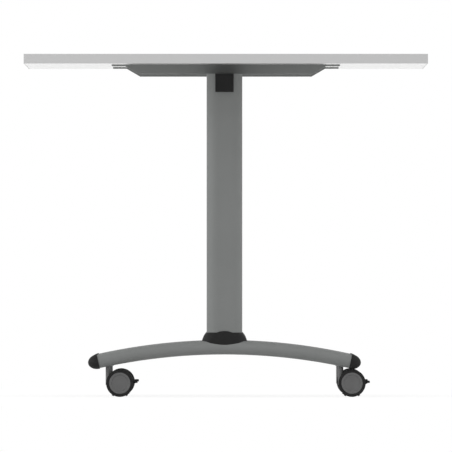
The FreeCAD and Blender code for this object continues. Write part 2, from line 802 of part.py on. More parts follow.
def wheel_half(castor, letter, sign, x, y):
    """Hub and tyre on one side of the web; the profile is turned about the axle."""
    turn = 0 if sign > 0 else 180
    hub = new_body("Hub")
    rim, bore = "hub_dia/2", "axle_dia/2 + run_clear"
    dish = "hub_outer - hub_dish"
    blind = f"{dish} - hub_face"
    profile = outline(sketch_on(hub, "XY_Plane"),
                      (bore, "hub_inner"), (rim, "hub_inner"), (rim, "hub_outer - hub_dish/2"),
                      (f"{rim} - hub_dish/2", "hub_outer"), (f"{rim} - hub_rim", "hub_outer"),
                      (f"{rim} - hub_rim - hub_dish", dish), ("0", dish), ("0", blind), (bore, blind))
    turned(hub, profile, "V_Axis")
    place(hub, f"{x} + trail", y, "axle_z", axis=(0, 0, 1), turn=turn)
    finish(hub, f"{castor}_hub_{letter}")
    tyre = new_body("Tyre")
    seat = f"{rim} + press_clear"
    ring = rectangle(sketch_on(tyre, "XY_Plane"), seat, "wheel_dia/2", "hub_inner", "hub_outer")
    tread = turned(tyre, ring, "V_Axis")
    reach = value("wheel_dia")
    round_edges(tyre, tread, "tyre_round", lambda b: near(b.XLength, reach) and near(b.YLength, 0))
    place(tyre, f"{x} + trail", y, "axle_z", axis=(0, 0, 1), turn=turn)
    finish(tyre, f"{castor}_tyre_{letter}")


def yoke(castor, x, y):
    """Steel stem with the arm that carries the axle, in the plane between the wheels."""
    half = "web_thick/2"
    barrel = upright("0", "0", "barrel_low", "barrel_top", "barrel_dia")
    stem = upright("0", "0", "barrel_top", "stem_top", "stem_dia")
    arm = box("0", "-arm_thick/2", "barrel_low", "trail", "arm_thick", "arm_high")
    boss = crossbar("trail", "axle_z", f"-{half}", half, "boss_dia")
    over = f"{half} + cut_over"
    bore = crossbar("trail", "axle_z", f"-({over})", over, "axle_dia + 2*press_clear")
    finish(place(cut(fuse(barrel, stem, arm, boss), bore), x, y), f"{castor}_yoke")
    axle = crossbar(f"{x} + trail", "axle_z", f"{y} - (axle_half)", f"{y} + (axle_half)", "axle_dia")
    finish(axle, f"{castor}_axle")


def hood(castor, x, y):
    """Moulded web between the wheels, slotted for the yoke and the brake pedal."""
    half = "web_thick/2"
    low, high = f"-{half}", half
    web = crossbar("trail", "axle_z", low, high, "web_dia")
    tips = []
    for sign in (-1, 1):
        tip = box("-tip_wide/2", low, "-wheel_dia/2 - tip_proud", "tip_wide", "web_thick", "tip_long")
        swung = doc.addObject("Part::Compound", "Tip")
        swung.Links = [tip]
        place(swung, "trail", "0", "axle_z", axis=(0, 1, 0), turn=0)
        bind(swung, **{"Placement.Rotation.Angle": f"{sign}*tip_spread"})
        tips.append(swung)
    under, over = f"{low} - cut_over", f"{high} + cut_over"
    slot_low = "barrel_low - seat_clear"
    barrel_slot = box("-web_dia", under, slot_low, "web_dia + barrel_dia/2 + seat_clear",
                      "web_thick + 2*cut_over", "web_dia")
    arm_slot = box("0", "-arm_thick/2 - seat_clear", slot_low, "trail",
                   "arm_thick + 2*seat_clear", "arm_high + 2*seat_clear")
    boss_hole = crossbar("trail", "axle_z", under, over, "boss_dia + 2*seat_clear")
    gap = "tongue_wide/2 + swing_clear"
    heel = "pedal_x - pedal_heel - pedal_thick/2"
    sweep = "gusset_high + pedal_thick + swing_clear"
    pedal_slot = box(heel, f"-({gap})", f"pedal_z - ({sweep})", "web_dia", f"2*({gap})", f"2*({sweep})")
    trunnion = crossbar("pedal_x", "pedal_z", under, over, "trunnion_dia + 2*pivot_clear")
    solid = cut(fuse(web, *tips), barrel_slot, arm_slot, boss_hole, pedal_slot, trunnion)
    finish(place(solid, x, y), f"{castor}_hood")


def pedal(castor, x, y):
    """Brake pedal: a tongue on trunnions in the hood, a gusset and a wide paddle with a rounded lip."""
    body = new_body("Pedal")
    half = "pedal_thick/2"
    root = "pedal_reach - pedal_pivot - paddle_long"
    tip = "pedal_reach - pedal_pivot"
    gusset_end = f"{root} + gusset_high"
    tongue = outline(sketch_on(body, "XZ_Plane"),
                     ("-pedal_heel", f"-{half}"), (f"{root} - gusset_lead", f"-{half} - gusset_high"),
                     (gusset_end, f"-{half}"), (gusset_end, half), ("-pedal_heel", half))
    pad(body, tongue, "tongue_wide", both_ways=True)
    pad(body, disc(sketch_on(body, "XZ_Plane"), "0", "0", "trunnion_dia"), "web_thick - 2*seat_clear",
        both_ways=True)
    paddle = pad(body, rectangle(sketch_on(body, "XZ_Plane"), root, tip, f"-{half}", half), "paddle_wide",
                 both_ways=True)
    end = value(tip)
    round_edges(body, paddle, "pedal_round",
                lambda b: near(b.XMin, end) and near(b.XMax, end) and near(b.ZLength, 0))
    finish(place(body, f"{x} + pedal_x", y, "pedal_z"), f"{castor}_pedal")


def castor_set(end, side):
    """All pieces of one castor."""
    name = f"castor_{end}_{side}"
    x = f"leg_x + {ENDS[end]}*stem_reach"
    y = f"{SIDES[side]}*leg_y"
    yoke(name, x, y)
    hood(name, x, y)
    for letter, sign in (("a", -1), ("b", 1)):
        wheel_half(name, letter, sign, x, y)
    pedal(name, x, y)


def check():
    """Stop on any object that failed and on any sub-part that isn't sound."""
    for item in doc.Objects:
        if "Invalid" in item.State or "Error" in item.State:
            raise RuntimeError(f"{item.Name} ({item.Label}) failed: {item.State}")
    for item in finished:
        if item.Shape.isNull() or not item.Shape.isValid() or not item.Shape.Solids:
            raise RuntimeError(f"{item.Label} has no sound shape")


def main():
    """Build every sub-part and write it to its file."""
    table_top()
    pivot_hardware()
    for side in SIDES:
        tilt_rail(side)
        pivot_housing(side)
        lock_lever(side)
        column(side)
        foot(side)
        boot(side)
        finish(group(*[foot_cap(side, end) for end in ENDS]), f"foot_caps_{side}")
    stretcher()
    foot_hardware()
    for end in ENDS:
        for side in SIDES:
            castor_set(end, side)
    doc.recompute()
    check()
    os.makedirs("parts", exist_ok=True)
    for item in finished:
        item.Shape.exportStep(os.path.join("parts", f"{item.Label}.step"))
        solids = item.Shape.Solids
        print(f"{item.Label}: {len(solids)} solid(s), {sum(solid.Volume for solid in solids):.0f} mm3")


main()
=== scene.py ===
"""Finishes, small fittings and studio of a mobile meeting table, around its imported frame."""

import math

import bpy
from bpy.props import FloatProperty, FloatVectorProperty, IntProperty, PointerProperty
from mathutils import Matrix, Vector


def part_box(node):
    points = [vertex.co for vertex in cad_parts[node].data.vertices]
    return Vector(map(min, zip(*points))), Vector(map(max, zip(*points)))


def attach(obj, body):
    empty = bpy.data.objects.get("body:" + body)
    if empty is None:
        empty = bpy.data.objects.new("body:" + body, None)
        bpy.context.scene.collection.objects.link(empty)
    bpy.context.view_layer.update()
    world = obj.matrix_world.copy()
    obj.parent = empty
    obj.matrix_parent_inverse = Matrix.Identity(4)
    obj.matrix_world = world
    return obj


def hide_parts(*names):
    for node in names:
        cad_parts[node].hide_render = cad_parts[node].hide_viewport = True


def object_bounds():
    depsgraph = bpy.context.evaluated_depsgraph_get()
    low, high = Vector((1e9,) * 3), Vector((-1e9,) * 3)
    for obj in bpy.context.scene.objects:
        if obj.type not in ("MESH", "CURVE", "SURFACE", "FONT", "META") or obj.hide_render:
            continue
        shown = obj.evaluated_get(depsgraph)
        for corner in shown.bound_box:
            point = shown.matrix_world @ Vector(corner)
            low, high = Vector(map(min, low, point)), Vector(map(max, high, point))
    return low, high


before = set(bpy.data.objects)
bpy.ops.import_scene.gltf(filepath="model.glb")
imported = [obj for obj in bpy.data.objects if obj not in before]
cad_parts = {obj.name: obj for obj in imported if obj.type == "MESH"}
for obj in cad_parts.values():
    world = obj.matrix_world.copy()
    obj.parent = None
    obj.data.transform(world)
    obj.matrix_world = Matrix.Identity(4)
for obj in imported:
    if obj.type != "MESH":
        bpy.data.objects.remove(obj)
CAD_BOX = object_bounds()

bl_info = {
    "name": "Mobile meeting table",
    "version": (1, 0, 0),
    "blender": (4, 5, 0),
    "location": "3D View > Sidebar > Meeting table",
    "description": "Finishes, small fittings and studio of a mobile meeting table",
    "category": "Object",
}

MM = 0.001
SIDES = ("left", "right")
CASTORS = [f"castor_{end}_{side}" for end in ("front", "rear") for side in SIDES]

# Sides of the small round shapes.
SCREW_HEAD_SIDES = 32
SCREW_SHANK_SIDES = 24
WELD_SIDES = 10
GRIP_RIB_SIDES = 12
TREAD_RIB_SIDES = 8

# Each ripple of a weld has this many points along it and starts at this share of the bead's radius.
RIPPLE_POINTS = 5
RIPPLE_DIP = 0.82

# Steps in each rounded corner of a weld's path.
CORNER_STEPS = 5

# Range that most levels of a noise texture lie in.
NOISE_SPAN = {"From Min": 0.3, "From Max": 0.7}

# Places of a Mix node's sockets for colour, because several of its sockets share a name.
MIX_SHARE, MIX_DARK, MIX_LIGHT = 0, 6, 7
MIX_RESULT = 2

WHITE = (1, 1, 1, 1)


def linear(code):
    """Linear colour of an sRGB hex value."""
    shares = [int(code[place:place + 2], 16) / 255 for place in (0, 2, 4)]
    return tuple(s / 12.92 if s <= 0.04045 else ((s + 0.055) / 1.055) ** 2.4 for s in shares)


def per_mm(size):
    """Texture scale, on coordinates in metres, of a pattern whose cells are this many millimetres across."""
    return 1 / (size * MM)


def add(tree, kind, inputs=(), **settings):
    """Add a node: settings are its own options, inputs are values or the sockets that feed it."""
    made = tree.nodes.new(kind)
    for option, setting in settings.items():
        setattr(made, option, setting)
    for socket, feed in dict(inputs).items():
        if isinstance(feed, bpy.types.NodeSocket):
            tree.links.new(feed, made.inputs[socket])
        else:
            made.inputs[socket].default_value = feed
    return made


def middle(node):
    """Centre of a CAD node's box."""
    low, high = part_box(node)
    return (low + high) / 2


def colour(name, description, code):
    """Colour property whose default is an sRGB hex value."""
    return FloatVectorProperty(name=name, description=description, default=linear(code),
                               subtype="COLOR", size=3, min=0, max=1)


def length(name, description, millimetres):
    """Length property whose default is given in millimetres."""
    return FloatProperty(name=name, description=description, default=millimetres * MM,
                         unit="LENGTH", subtype="DISTANCE", min=0)


def count(name, description, number, most):
    """Property for a number of like pieces."""
    return IntProperty(name=name, description=description, default=number, min=1, max=most)


def level(name, description, strength):
    """Property for a level of light, of which 1 shows white as white."""
    return FloatProperty(name=name, description=description, default=strength, min=0)


def watts(name, description, power):
    """Property for a lamp's power."""
    return FloatProperty(name=name, description=description, default=power, unit="POWER", min=0)


def factor(name, description, share):
    """Property for a share of a whole."""
    return FloatProperty(name=name, description=description, default=share, subtype="FACTOR", min=0, max=1)


class MeetingTableColours(bpy.types.PropertyGroup):
    """Colours of the table's finishes."""
    laminate: colour("Laminate", "Face of the table top", "C9C9C9")
    edging: colour("Edging", "Plastic strip round the board", "C9C9C9")
    backing: colour("Backing", "Underside of the table top", "E0E0DE")
    chipboard: colour("Chipboard", "Core of the board", "B39A76")
    frame_coat: colour("Frame coat", "Powder coat of columns, feet, rails and stretcher", "7C7E7D")
    # The yokes' grey is the frame's grey darkened, as painted shade from the feet above them.
    castor_coat_with_painted_shade: colour("Castor coat", "Coat of the castor yokes", "6F6F6F")
    zinc: colour("Zinc", "Plated pins, axles, bolts and screws", "B4B7BA")
    black: colour("Black mouldings", "Boots, caps, pivot housings, levers, hoods and pedals", "1C1C1C")
    hub: colour("Hub", "Moulded nylon of the wheel hubs", "676767")
    tyre: colour("Tyre", "Soft tread of the wheels", "262626")
    bush: colour("Bush", "Natural nylon of the pivot bushes and thrust washers", "E4E1D8")


class MeetingTableSizes(bpy.types.PropertyGroup):
    """Sizes of the small fittings."""
    screw_head: length("Screw head", "Diameter of a rail screw's countersunk head", 8)
    screw_shank: length("Screw shank", "Diameter of a rail screw's shank", 4)
    screw_head_high: length("Head height", "Height of the countersunk head", 2)
    recess_long: length("Recess length", "Length of each arm of the cross recess", 4.4)
    recess_wide: length("Recess width", "Width of each arm of the cross recess", 0.9)
    recess_deep: length("Recess depth", "Depth of the cross recess", 1.3)
    bead: length("Weld bead", "Radius of the weld bead round the stretcher", 2.2)
    ripple: length("Weld ripple", "Spacing of the ripples of a weld bead", 2.4)
    grip_thick: length("Grip thickness", "Thickness of a lock lever's grip", 8)
    grip_rib: length("Grip rib", "Radius of a rib on a lock lever's grip", 1.1)
    grip_rib_long: length("Grip rib length", "Length of a grip rib between its round ends", 8.8)
    grip_rib_pitch: length("Grip rib pitch", "Spacing of the grip ribs", 4.5)
    grip_start: length("Grip start", "Height of the first grip rib over the lever's tip", 9)
    tread_rib: length("Tread rib", "Radius of a rib on a brake pedal", 0.5)
    tread_rib_pitch: length("Tread rib pitch", "Spacing of the tread ribs", 1.8)
    tread_start: length("Tread start", "Distance of the first tread rib from the pedal's tip", 2.4)
    grip_ribs: count("Grip ribs", "Ribs on each face of a lock lever's grip", 7, most=20)
    tread_ribs: count("Tread ribs", "Ribs on a brake pedal", 3, most=9)


class MeetingTableStudio(bpy.types.PropertyGroup):
    """Camera, light and floor."""
    view_width: length("View width", "Width that the picture takes in at the near leg", 988.98)
    view_height: length("View height", "Height that the picture is centred on", 373.9)
    view_side: length("View side", "Offset of the picture's centre across the table", 0.35)
    camera_distance: length("Camera distance", "Distance from the camera to the near leg", 46500)
    camera_height: length("Camera height", "Height of the camera over the floor", 250)
    sky_high: level("Sky overhead", "Level of the soft light from above", 1.26)
    sky_low: level("Sky below", "Level of the soft light from below", 0)
    left_lamp: watts("Left lamp", "Power of the soft box on the left", 26.6)
    right_lamp: watts("Right lamp", "Power of the soft box on the right", 10.5)
    lamp_side: length("Lamp side", "Distance of a soft box to the side of the table", 3200)
    lamp_front: length("Lamp front", "Distance of a soft box in front of the table's middle", 1200)
    lamp_height: length("Lamp height", "Height of a soft box over the floor", 1000)
    lamp_size: length("Lamp size", "Width of a soft box", 2000)
    floor_half: length("Floor", "Distance from the table's middle to the edge of the floor", 4000)
    floor_fade: length("Floor fade", "Distance at which the floor starts to fade into the background", 1200)
    floor_shade: factor("Floor shade", "Share of the floor's tone that takes the shadow", 0.25)
    floor_bounce: factor("Floor bounce", "Share of light that the floor throws back", 0.68)


def new_material(name):
    """Empty material: the material, its tree and its coordinates in metres."""
    material = bpy.data.materials.new(name)
    material.use_nodes = True
    tree = material.node_tree
    tree.nodes.clear()
    return material, tree, add(tree, "ShaderNodeTexCoord").outputs["Object"]


def surface(tree, inputs):
    """Principled surface of a material."""
    shader = add(tree, "ShaderNodeBsdfPrincipled", inputs)
    add(tree, "ShaderNodeOutputMaterial", {"Surface": shader.outputs["BSDF"]})


def tints(base, spread):
    """Mix inputs for a colour that varies by a share of itself: its darker and lighter ends."""
    dark = [part * (1 - spread) for part in base]
    light = [min(1, part * (1 + spread)) for part in base]
    return {MIX_DARK: (*dark, 1), MIX_LIGHT: (*light, 1)}


def varied(roughness, spread):
    """Map inputs for a roughness that varies with a noise texture by this much each way."""
    return {**NOISE_SPAN, "To Min": roughness - spread, "To Max": roughness + spread}


def pressed_laminate(name, base, pebble_mm, relief_mm, roughness, shine, cloud_mm=60, tint=0.02, uneven=0.06):
    """Melamine sheet pressed on a plate: an even tone, clouded a little by the paper, and a low pebble."""
    material, tree, where = new_material(name)
    cloud = add(tree, "ShaderNodeTexNoise", {"Vector": where, "Scale": per_mm(cloud_mm), "Detail": 3})
    fleck = add(tree, "ShaderNodeTexNoise", {"Vector": where, "Scale": per_mm(pebble_mm), "Detail": 2})
    both = add(tree, "ShaderNodeMath", {0: cloud.outputs["Fac"], 1: fleck.outputs["Fac"]},
               operation="MULTIPLY")
    tone = add(tree, "ShaderNodeMapRange", {"Value": both.outputs[0], "From Min": 0.1, "From Max": 0.4})
    paper = add(tree, "ShaderNodeMix", {MIX_SHARE: tone.outputs["Result"], **tints(base, tint)},
                data_type="RGBA")
    matt = add(tree, "ShaderNodeMapRange", {"Value": fleck.outputs["Fac"], **varied(roughness, uneven)})
    relief = add(tree, "ShaderNodeBump", {"Height": fleck.outputs["Fac"], "Strength": 0.25,
                                          "Distance": relief_mm * MM})
    surface(tree, {"Base Color": paper.outputs[MIX_RESULT], "Roughness": matt.outputs["Result"], "IOR": 1.5,
                   "Specular IOR Level": shine, "Normal": relief.outputs["Normal"]})
    return material


def extruded_edging(base, chatter_mm=9, flatten=6, relief_mm=0.05, tint=0.025, roughness=0.48, uneven=0.06):
    """ABS strip glued on and scraped flush: the board's tone, with faint scraper chatter along its length."""
    material, tree, where = new_material("abs_edging")
    stretched = add(tree, "ShaderNodeMapping", {"Vector": where, "Scale": (1, 1, flatten)})
    chatter = add(tree, "ShaderNodeTexNoise", {"Vector": stretched.outputs["Vector"],
                                               "Scale": per_mm(chatter_mm), "Detail": 4})
    tone = add(tree, "ShaderNodeMix", {MIX_SHARE: chatter.outputs["Fac"], **tints(base, tint)},
               data_type="RGBA")
    sheen = add(tree, "ShaderNodeMapRange", {"Value": chatter.outputs["Fac"], **varied(roughness, uneven)})
    relief = add(tree, "ShaderNodeBump", {"Height": chatter.outputs["Fac"], "Strength": 0.15,
                                          "Distance": relief_mm * MM})
    surface(tree, {"Base Color": tone.outputs[MIX_RESULT], "Roughness": sheen.outputs["Result"], "IOR": 1.52,
                   "Specular IOR Level": 0.35, "Normal": relief.outputs["Normal"]})
    return material


def chipboard(base, flake_mm=3.5, flatten=3, relief_mm=0.3, tint=0.35):
    """Pressed wood chips: flakes of several browns, a few millimetres across and lying flat."""
    material, tree, where = new_material("chipboard")
    flat = add(tree, "ShaderNodeMapping", {"Vector": where, "Scale": (1, 1, flatten)})
    flake = add(tree, "ShaderNodeTexVoronoi", {"Vector": flat.outputs["Vector"], "Scale": per_mm(flake_mm)})
    tone = add(tree, "ShaderNodeMix", {MIX_SHARE: flake.outputs["Color"], **tints(base, tint)},
               data_type="RGBA")
    relief = add(tree, "ShaderNodeBump", {"Height": flake.outputs["Distance"], "Strength": 0.5,
                                          "Distance": relief_mm * MM})
    surface(tree, {"Base Color": tone.outputs[MIX_RESULT], "Roughness": 0.85,
                   "Normal": relief.outputs["Normal"]})
    return material


def powder_coat(name, base, roughness, peel_mm=2.2, flake_mm=0.7, drift_mm=140, relief_mm=0.08, tint=0.06,
                uneven=0.05):
    """Polyester powder baked on steel: a satin grey with orange peel a couple of millimetres across and a
    fine flake, drawn a little coarser than the real one so that it shows."""
    material, tree, where = new_material(name)
    peel = add(tree, "ShaderNodeTexNoise", {"Vector": where, "Scale": per_mm(peel_mm), "Detail": 2})
    flake = add(tree, "ShaderNodeTexVoronoi", {"Vector": where, "Scale": per_mm(flake_mm)})
    drift = add(tree, "ShaderNodeTexNoise", {"Vector": where, "Scale": per_mm(drift_mm), "Detail": 2})
    both = add(tree, "ShaderNodeMath", {0: flake.outputs["Distance"], 1: drift.outputs["Fac"]},
               operation="MULTIPLY")
    tone = add(tree, "ShaderNodeMapRange", {"Value": both.outputs[0], "From Min": 0.05, "From Max": 0.35})
    grey = add(tree, "ShaderNodeMix", {MIX_SHARE: tone.outputs["Result"], **tints(base, tint)},
               data_type="RGBA")
    satin = add(tree, "ShaderNodeMapRange", {"Value": peel.outputs["Fac"], **varied(roughness, uneven)})
    relief = add(tree, "ShaderNodeBump", {"Height": peel.outputs["Fac"], "Strength": 0.2,
                                          "Distance": relief_mm * MM})
    surface(tree, {"Base Color": grey.outputs[MIX_RESULT], "Roughness": satin.outputs["Result"], "IOR": 1.5,
                   "Specular IOR Level": 0.3, "Normal": relief.outputs["Normal"]})
    return material


def zinc_plate(base, patch_mm=3, tint=0.12, roughness=0.335, uneven=0.085):
    """Bright zinc on steel: a bluish metal, dulled in patches by its passivation."""
    material, tree, where = new_material("zinc_plated_steel")
    patch = add(tree, "ShaderNodeTexNoise", {"Vector": where, "Scale": per_mm(patch_mm), "Detail": 4})
    tone = add(tree, "ShaderNodeMix", {MIX_SHARE: patch.outputs["Fac"], **tints(base, tint)},
               data_type="RGBA")
    dull = add(tree, "ShaderNodeMapRange", {"Value": patch.outputs["Fac"], **varied(roughness, uneven)})
    surface(tree, {"Base Color": tone.outputs[MIX_RESULT], "Metallic": 1.0,
                   "Roughness": dull.outputs["Result"]})
    return material


def moulded_plastic(name, base, grain_mm, roughness, shine, drift_mm=25, relief_mm=0.1, tint=0.12,
                    uneven=0.07):
    """Moulding from a spark-eroded tool: a dull tone with a pebbled grain, drawn about twice its real size so
    that it shows, and a slow drift in gloss."""
    material, tree, where = new_material(name)
    grain = add(tree, "ShaderNodeTexVoronoi", {"Vector": where, "Scale": per_mm(grain_mm)},
                feature="SMOOTH_F1")
    drift = add(tree, "ShaderNodeTexNoise", {"Vector": where, "Scale": per_mm(drift_mm), "Detail": 3})
    tone = add(tree, "ShaderNodeMix", {MIX_SHARE: drift.outputs["Fac"], **tints(base, tint)},
               data_type="RGBA")
    dull = add(tree, "ShaderNodeMapRange", {"Value": drift.outputs["Fac"], **varied(roughness, uneven)})
    relief = add(tree, "ShaderNodeBump", {"Height": grain.outputs["Distance"], "Strength": 0.3,
                                          "Distance": relief_mm * MM})
    surface(tree, {"Base Color": tone.outputs[MIX_RESULT], "Roughness": dull.outputs["Result"], "IOR": 1.49,
                   "Specular IOR Level": shine, "Normal": relief.outputs["Normal"]})
    return material


def soft_tread(base, dust_mm=6, tint=0.3):
    """Polyurethane tread: a dull near-black, greyed in patches by floor dust."""
    material, tree, where = new_material("polyurethane_tread")
    dust = add(tree, "ShaderNodeTexNoise", {"Vector": where, "Scale": per_mm(dust_mm), "Detail": 5})
    settled = add(tree, "ShaderNodeMapRange", {"Value": dust.outputs["Fac"], "From Min": 0.45,
                                               "From Max": 0.75})
    tone = add(tree, "ShaderNodeMix", {MIX_SHARE: settled.outputs["Result"], **tints(base, tint)},
               data_type="RGBA")
    surface(tree, {"Base Color": tone.outputs[MIX_RESULT], "Roughness": 0.72, "IOR": 1.5,
                   "Specular IOR Level": 0.2})
    return material


def coat(material, *nodes):
    """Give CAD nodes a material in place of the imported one."""
    for name in nodes:
        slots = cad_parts[name].data.materials
        slots.clear()
        slots.append(material)


def castor_nodes(*pieces):
    """Names of a piece, or several, on every castor."""
    return [f"{castor}_{piece}" for castor in CASTORS for piece in pieces]


def both_sides(*pieces):
    """Names of a piece, or several, on the left and the right."""
    return [f"{piece}_{side}" for piece in pieces for side in SIDES]


def new_tree(name, lengths=(), counts=()):
    """Geometry tree with named inputs: the tree, and the sockets that bring in its geometry and values."""
    tree = bpy.data.node_groups.new(name, "GeometryNodeTree")
    tree.interface.new_socket("Geometry", in_out="INPUT", socket_type="NodeSocketGeometry")
    for label in lengths:
        tree.interface.new_socket(label, in_out="INPUT", socket_type="NodeSocketFloat")
    for label in counts:
        tree.interface.new_socket(label, in_out="INPUT", socket_type="NodeSocketInt")
    tree.interface.new_socket("Material", in_out="INPUT", socket_type="NodeSocketMaterial")
    tree.interface.new_socket("Geometry", in_out="OUTPUT", socket_type="NodeSocketGeometry")
    return tree, add(tree, "NodeGroupInput").outputs


def close_tree(tree, given, geometry):
    """Last nodes of a geometry tree: plain geometry with its material."""
    real = add(tree, "GeometryNodeRealizeInstances", {"Geometry": geometry})
    clad = add(tree, "GeometryNodeSetMaterial", {"Geometry": real.outputs[0], "Material": given["Material"]})
    add(tree, "NodeGroupOutput", {"Geometry": clad.outputs[0]})


def made_by(tree, name, points, edges, values):
    """Object with the plain mesh that a tree makes from points and edges."""
    start = bpy.data.meshes.new(name)
    start.from_pydata([tuple(point) for point in points], edges, [])
    piece = bpy.data.objects.new(name, start)
    bpy.context.scene.collection.objects.link(piece)
    modifier = piece.modifiers.new(tree.name, "NODES")
    modifier.node_group = tree
    for item in tree.interface.items_tree:
        if item.in_out == "INPUT" and item.name in values:
            modifier[item.identifier] = values[item.name]
    seen = piece.evaluated_get(bpy.context.evaluated_depsgraph_get())
    made = bpy.data.meshes.new_from_object(seen)
    piece.modifiers.clear()
    piece.data = made
    if not made.polygons:
        raise RuntimeError(f"{name} came out empty")
    return piece


def paired(points):
    """Edges that join the points two by two."""
    return [(spot, spot + 1) for spot in range(0, len(points), 2)]


def screw_tree():
    """Countersunk screw with a cross recess on every point, its face down."""
    lengths = ("Head", "Shank", "Head height", "Long", "Recess length", "Recess width", "Recess depth")
    tree, given = new_tree("Countersunk screws", lengths)
    radius = add(tree, "ShaderNodeMath", {0: given["Head"], 1: 0.5}, operation="MULTIPLY")
    neck = add(tree, "ShaderNodeMath", {0: given["Shank"], 1: 0.5}, operation="MULTIPLY")
    head = add(tree, "GeometryNodeMeshCone", {"Vertices": SCREW_HEAD_SIDES, "Radius Top": neck.outputs[0],
                                              "Radius Bottom": radius.outputs[0],
                                              "Depth": given["Head height"]})
    # The arms of the recess are centred on the head's face, so half of their depth cuts into it.
    deep = add(tree, "ShaderNodeMath", {0: given["Recess depth"], 1: 2.0}, operation="MULTIPLY")
    cross = add(tree, "GeometryNodeMeshBoolean", operation="UNION")
    for across, along in (("Recess length", "Recess width"), ("Recess width", "Recess length")):
        size = add(tree, "ShaderNodeCombineXYZ", {"X": given[across], "Y": given[along],
                                                  "Z": deep.outputs[0]})
        slot = add(tree, "GeometryNodeMeshCube", {"Size": size.outputs[0]})
        tree.links.new(slot.outputs["Mesh"], cross.inputs["Mesh 2"])
    driven = add(tree, "GeometryNodeMeshBoolean", {"Mesh 1": head.outputs["Mesh"],
                                                   "Mesh 2": cross.outputs["Mesh"]}, operation="DIFFERENCE")
    shank = add(tree, "GeometryNodeMeshCylinder", {"Vertices": SCREW_SHANK_SIDES, "Radius": neck.outputs[0],
                                                   "Depth": given["Long"]})
    half = add(tree, "ShaderNodeMath", {0: given["Long"], 1: 0.5}, operation="MULTIPLY")
    lift = add(tree, "ShaderNodeMath", {0: half.outputs[0], 1: given["Head height"]}, operation="ADD")
    up = add(tree, "ShaderNodeCombineXYZ", {"Z": lift.outputs[0]})
    raised = add(tree, "GeometryNodeTransform", {"Geometry": shank.outputs["Mesh"],
                                                 "Translation": up.outputs[0]})
    whole = add(tree, "GeometryNodeJoinGeometry")
    for part in (driven.outputs["Mesh"], raised.outputs["Geometry"]):
        tree.links.new(part, whole.inputs["Geometry"])
    spread = add(tree, "GeometryNodeInstanceOnPoints", {"Points": given["Geometry"],
                                                        "Instance": whole.outputs["Geometry"]})
    close_tree(tree, given, spread.outputs["Instances"])
    return tree


def bead_tree():
    """Weld bead along edges, rippled like a row of overlapping coins."""
    tree, given = new_tree("Weld bead", ("Bead", "Ripple"))
    path = add(tree, "GeometryNodeMeshToCurve", {"Mesh": given["Geometry"]})
    step = add(tree, "ShaderNodeMath", {0: given["Ripple"], 1: RIPPLE_POINTS}, operation="DIVIDE")
    fine = add(tree, "GeometryNodeResampleCurve", {"Curve": path.outputs["Curve"], "Length": step.outputs[0]},
               mode="LENGTH")
    along = add(tree, "GeometryNodeSplineParameter")
    turns = add(tree, "ShaderNodeMath", {0: along.outputs["Length"], 1: given["Ripple"]}, operation="DIVIDE")
    coin = add(tree, "ShaderNodeMath", {0: turns.outputs[0]}, operation="FRACT")
    swell = add(tree, "ShaderNodeMapRange", {"Value": coin.outputs[0], "To Min": RIPPLE_DIP, "To Max": 1.0})
    ring = add(tree, "GeometryNodeCurvePrimitiveCircle", {"Resolution": WELD_SIDES, "Radius": given["Bead"]})
    bead = add(tree, "GeometryNodeCurveToMesh", {"Curve": fine.outputs["Curve"],
                                                 "Profile Curve": ring.outputs["Curve"],
                                                 "Scale": swell.outputs["Result"]})
    smooth = add(tree, "GeometryNodeSetShadeSmooth", {"Geometry": bead.outputs["Mesh"]})
    close_tree(tree, given, smooth.outputs[0])
    return tree


def rib_tree():
    """Round-topped rib with round ends along every edge."""
    tree, given = new_tree("Ribs", ("Rib",), ("Sides",))
    path = add(tree, "GeometryNodeMeshToCurve", {"Mesh": given["Geometry"]})
    ring = add(tree, "GeometryNodeCurvePrimitiveCircle", {"Resolution": given["Sides"],
                                                          "Radius": given["Rib"]})
    bar = add(tree, "GeometryNodeCurveToMesh", {"Curve": path.outputs["Curve"],
                                                "Profile Curve": ring.outputs["Curve"], "Fill Caps": True})
    half = add(tree, "ShaderNodeMath", {0: given["Sides"], 1: 0.5}, operation="MULTIPLY")
    ball = add(tree, "GeometryNodeMeshUVSphere", {"Segments": given["Sides"], "Rings": half.outputs[0],
                                                  "Radius": given["Rib"]})
    ends = add(tree, "GeometryNodeInstanceOnPoints", {"Points": given["Geometry"],
                                                      "Instance": ball.outputs["Mesh"]})
    whole = add(tree, "GeometryNodeJoinGeometry")
    for part in (bar.outputs["Mesh"], ends.outputs["Instances"]):
        tree.links.new(part, whole.inputs["Geometry"])
    smooth = add(tree, "GeometryNodeSetShadeSmooth", {"Geometry": whole.outputs["Geometry"]})
    close_tree(tree, given, smooth.outputs[0])
    return tree


class MEETING_OT_table_top(bpy.types.Operator):
    """Finish the board: laminate, edging, backing and core"""
    bl_idname = "meeting_table.table_top"
    bl_label = "Table top"

    def execute(self, context):
        tones = context.scene.meeting_table_colours
        face = pressed_laminate("light_grey_laminate", tones.laminate, pebble_mm=0.9, relief_mm=0.06,
                                roughness=0.5, shine=0.35)
        back = pressed_laminate("white_backing_laminate", tones.backing, pebble_mm=1.4, relief_mm=0.02,
                                roughness=0.1, shine=0.5)
        coat(face, "top_laminate")
        coat(extruded_edging(tones.edging), "end_edging", "side_edging")
        coat(back, "backing_laminate")
        coat(chipboard(tones.chipboard), "tabletop_core")
        return {"FINISHED"}


def rounded_rectangle(low, high, radius):
    """Points (x, z) round the outline of a box with rounded corners."""
    points = []
    for corner in range(4):
        x = high.x - radius if corner in (0, 3) else low.x + radius
        z = high.z - radius if corner in (0, 1) else low.z + radius
        for step in range(CORNER_STEPS + 1):
            angle = math.radians(90) * (corner + step / CORNER_STEPS)
            points.append((x + radius * math.cos(angle), z + radius * math.sin(angle)))
    return points


